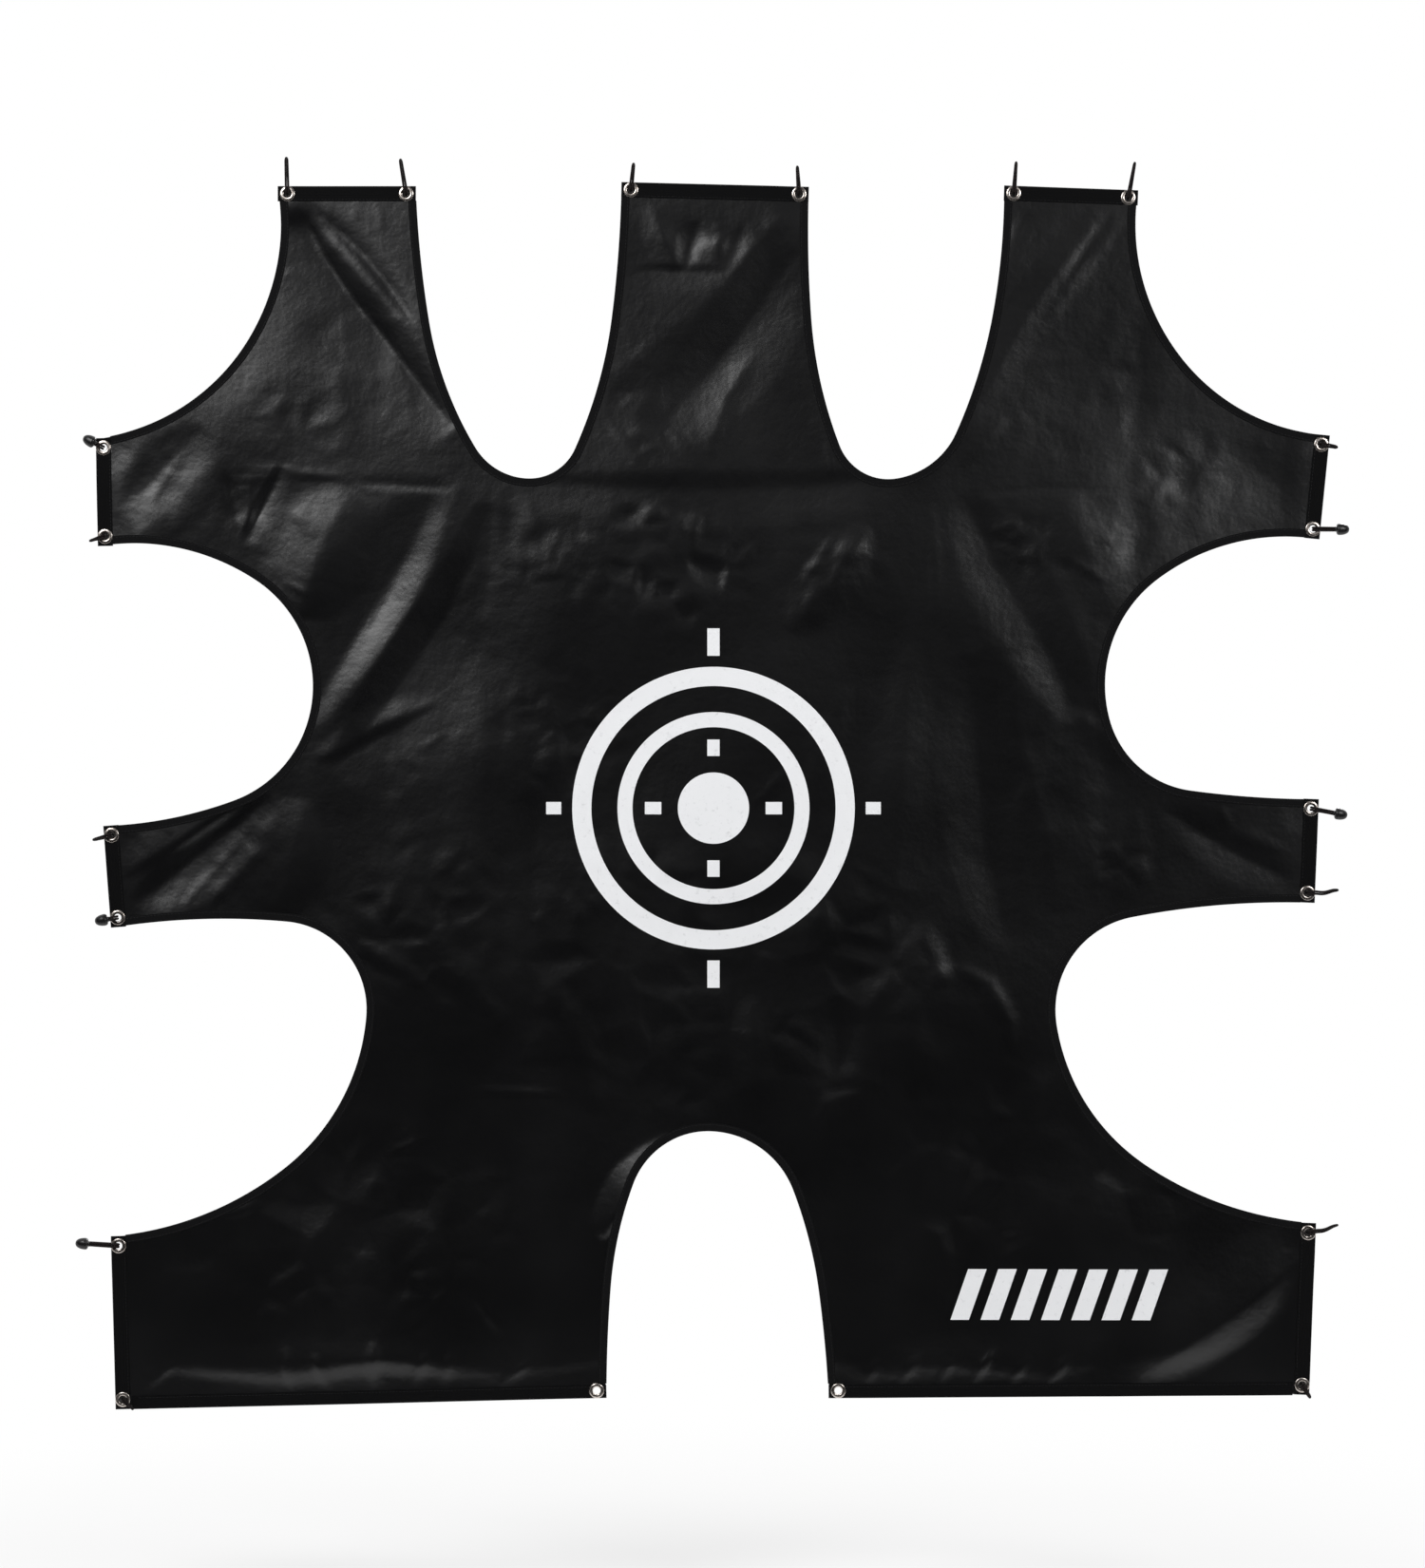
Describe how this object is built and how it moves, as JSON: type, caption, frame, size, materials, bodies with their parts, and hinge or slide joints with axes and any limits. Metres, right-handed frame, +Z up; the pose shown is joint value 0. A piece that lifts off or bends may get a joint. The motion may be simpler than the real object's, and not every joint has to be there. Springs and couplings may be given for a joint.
{
  "type": "goal shooting target sheet",
  "caption": "Black coated-fabric target sheet with cut-out shooting pockets round its edge, hung in a goal mouth by ball bungees through metal eyelets.",
  "frame": {"origin": "centre of the flat sheet's outline, in the middle of its thickness", "axes": "+X to the right as the shooter sees it, +Z up, the shooter stands on the -Y side"},
  "size_m": [1.8561, 0.0434, 1.8247],
  "materials": {
    "coated_fabric": "PVC-coated polyester, semi-gloss",
    "binding_tape": "woven polyester tape, matte",
    "webbing": "ribbed polyester webbing, matte",
    "plated_brass": "nickel plated, satin",
    "bungee_cord": "braided elastic cord, matte",
    "ball_plastic": "moulded, semi-gloss"
  },
  "bodies": {
    "sheet": {"target_sheet": "coated_fabric", "edge_bindings": "binding_tape", "top_left_band": "webbing", "top_center_band": "webbing", "top_right_band": "webbing", "right_upper_band": "webbing", "right_middle_band": "webbing", "right_lower_band": "webbing", "left_lower_band": "webbing", "left_middle_band": "webbing", "left_upper_band": "webbing", "right_bottom_hem": "webbing", "left_bottom_hem": "webbing", "eyelets": "plated_brass", "eyelet_washers": "plated_brass"},
    "top_left_left_bungee": {"top_left_tab_left_cord": "bungee_cord", "top_left_tab_left_ball": "ball_plastic"},
    "top_left_right_bungee": {"top_left_tab_right_cord": "bungee_cord", "top_left_tab_right_ball": "ball_plastic"},
    "top_center_left_bungee": {"top_center_tab_left_cord": "bungee_cord", "top_center_tab_left_ball": "ball_plastic"},
    "top_center_right_bungee": {"top_center_tab_right_cord": "bungee_cord", "top_center_tab_right_ball": "ball_plastic"},
    "top_right_left_bungee": {"top_right_tab_left_cord": "bungee_cord", "top_right_tab_left_ball": "ball_plastic"},
    "top_right_right_bungee": {"top_right_tab_right_cord": "bungee_cord", "top_right_tab_right_ball": "ball_plastic"},
    "right_upper_upper_bungee": {"right_upper_tab_upper_cord": "bungee_cord", "right_upper_tab_upper_ball": "ball_plastic"},
    "right_upper_lower_bungee": {"right_upper_tab_lower_cord": "bungee_cord", "right_upper_tab_lower_ball": "ball_plastic"},
    "right_middle_upper_bungee": {"right_middle_tab_upper_cord": "bungee_cord", "right_middle_tab_upper_ball": "ball_plastic"},
    "right_middle_lower_bungee": {"right_middle_tab_lower_cord": "bungee_cord", "right_middle_tab_lower_ball": "ball_plastic"},
    "right_lower_upper_bungee": {"right_lower_tab_upper_cord": "bungee_cord", "right_lower_tab_upper_ball": "ball_plastic"},
    "right_lower_lower_bungee": {"right_lower_tab_lower_cord": "bungee_cord", "right_lower_tab_lower_ball": "ball_plastic"},
    "left_lower_lower_bungee": {"left_lower_tab_lower_cord": "bungee_cord", "left_lower_tab_lower_ball": "ball_plastic"},
    "left_lower_upper_bungee": {"left_lower_tab_upper_cord": "bungee_cord", "left_lower_tab_upper_ball": "ball_plastic"},
    "left_middle_lower_bungee": {"left_middle_tab_lower_cord": "bungee_cord", "left_middle_tab_lower_ball": "ball_plastic"},
    "left_middle_upper_bungee": {"left_middle_tab_upper_cord": "bungee_cord", "left_middle_tab_upper_ball": "ball_plastic"},
    "left_upper_lower_bungee": {"left_upper_tab_lower_cord": "bungee_cord", "left_upper_tab_lower_ball": "ball_plastic"},
    "left_upper_upper_bungee": {"left_upper_tab_upper_cord": "bungee_cord", "left_upper_tab_upper_ball": "ball_plastic"}
  },
  "joints": [
    {"name": "top_left_left_swing", "type": "hinge", "parent": "sheet", "child": "top_left_left_bungee", "pos_m": [-0.621, 0, 0.8775], "axis": [0, 1, 0], "range_deg": [-75, 75]},
    {"name": "top_left_right_swing", "type": "hinge", "parent": "sheet", "child": "top_left_right_bungee", "pos_m": [-0.448, 0, 0.8775], "axis": [0, 1, 0], "range_deg": [-75, 75]},
    {"name": "top_center_left_swing", "type": "hinge", "parent": "sheet", "child": "top_center_left_bungee", "pos_m": [-0.12025, 0, 0.88317], "axis": [0, 1, 0], "range_deg": [-75, 75]},
    {"name": "top_center_right_swing", "type": "hinge", "parent": "sheet", "child": "top_center_right_bungee", "pos_m": [0.12476, 0, 0.87684], "axis": [0, 1, 0], "range_deg": [-75, 75]},
    {"name": "top_right_left_swing", "type": "hinge", "parent": "sheet", "child": "top_right_left_bungee", "pos_m": [0.43765, 0, 0.87804], "axis": [0, 1, 0], "range_deg": [-75, 75]},
    {"name": "top_right_right_swing", "type": "hinge", "parent": "sheet", "child": "top_right_right_bungee", "pos_m": [0.60466, 0, 0.87198], "axis": [0, 1, 0], "range_deg": [-75, 75]},
    {"name": "right_upper_upper_swing", "type": "hinge", "parent": "sheet", "child": "right_upper_upper_bungee", "pos_m": [0.88625, 0, 0.51202], "axis": [0, 1, 0], "range_deg": [-75, 75]},
    {"name": "right_upper_lower_swing", "type": "hinge", "parent": "sheet", "child": "right_upper_lower_bungee", "pos_m": [0.87385, 0, 0.38889], "axis": [0, 1, 0], "range_deg": [-45, 45]},
    {"name": "right_middle_upper_swing", "type": "hinge", "parent": "sheet", "child": "right_middle_upper_bungee", "pos_m": [0.87099, 0, -0.01861], "axis": [0, 1, 0], "range_deg": [-45, 45]},
    {"name": "right_middle_lower_swing", "type": "hinge", "parent": "sheet", "child": "right_middle_lower_bungee", "pos_m": [0.86603, 0, -0.14163], "axis": [0, 1, 0], "range_deg": [-75, 75]},
    {"name": "right_lower_upper_swing", "type": "hinge", "parent": "sheet", "child": "right_lower_upper_bungee", "pos_m": [0.86698, 0, -0.63661], "axis": [0, 1, 0], "range_deg": [-75, 75]},
    {"name": "right_lower_lower_swing", "type": "hinge", "parent": "sheet", "child": "right_lower_lower_bungee", "pos_m": [0.85803, 0, -0.85863], "axis": [0, 1, 0], "range_deg": [-75, 75]},
    {"name": "left_lower_lower_swing", "type": "hinge", "parent": "sheet", "child": "left_lower_lower_bungee", "pos_m": [-0.86087, 0, -0.87974], "axis": [0, 1, 0], "range_deg": [-75, 75]},
    {"name": "left_lower_upper_swing", "type": "hinge", "parent": "sheet", "child": "left_lower_upper_bungee", "pos_m": [-0.86714, 0, -0.65573], "axis": [0, 1, 0], "range_deg": [-45, 45]},
    {"name": "left_middle_lower_swing", "type": "hinge", "parent": "sheet", "child": "left_middle_lower_bungee", "pos_m": [-0.8685, 0, -0.17732], "axis": [0, 1, 0], "range_deg": [-45, 45]},
    {"name": "left_middle_upper_swing", "type": "hinge", "parent": "sheet", "child": "left_middle_upper_bungee", "pos_m": [-0.87755, 0, -0.05725], "axis": [0, 1, 0], "range_deg": [-75, 75]},
    {"name": "left_upper_lower_swing", "type": "hinge", "parent": "sheet", "child": "left_upper_lower_bungee", "pos_m": [-0.88675, 0, 0.37818], "axis": [0, 1, 0], "range_deg": [-75, 75]},
    {"name": "left_upper_upper_swing", "type": "hinge", "parent": "sheet", "child": "left_upper_upper_bungee", "pos_m": [-0.88925, 0, 0.50719], "axis": [0, 1, 0], "range_deg": [-45, 45]}
  ]
}
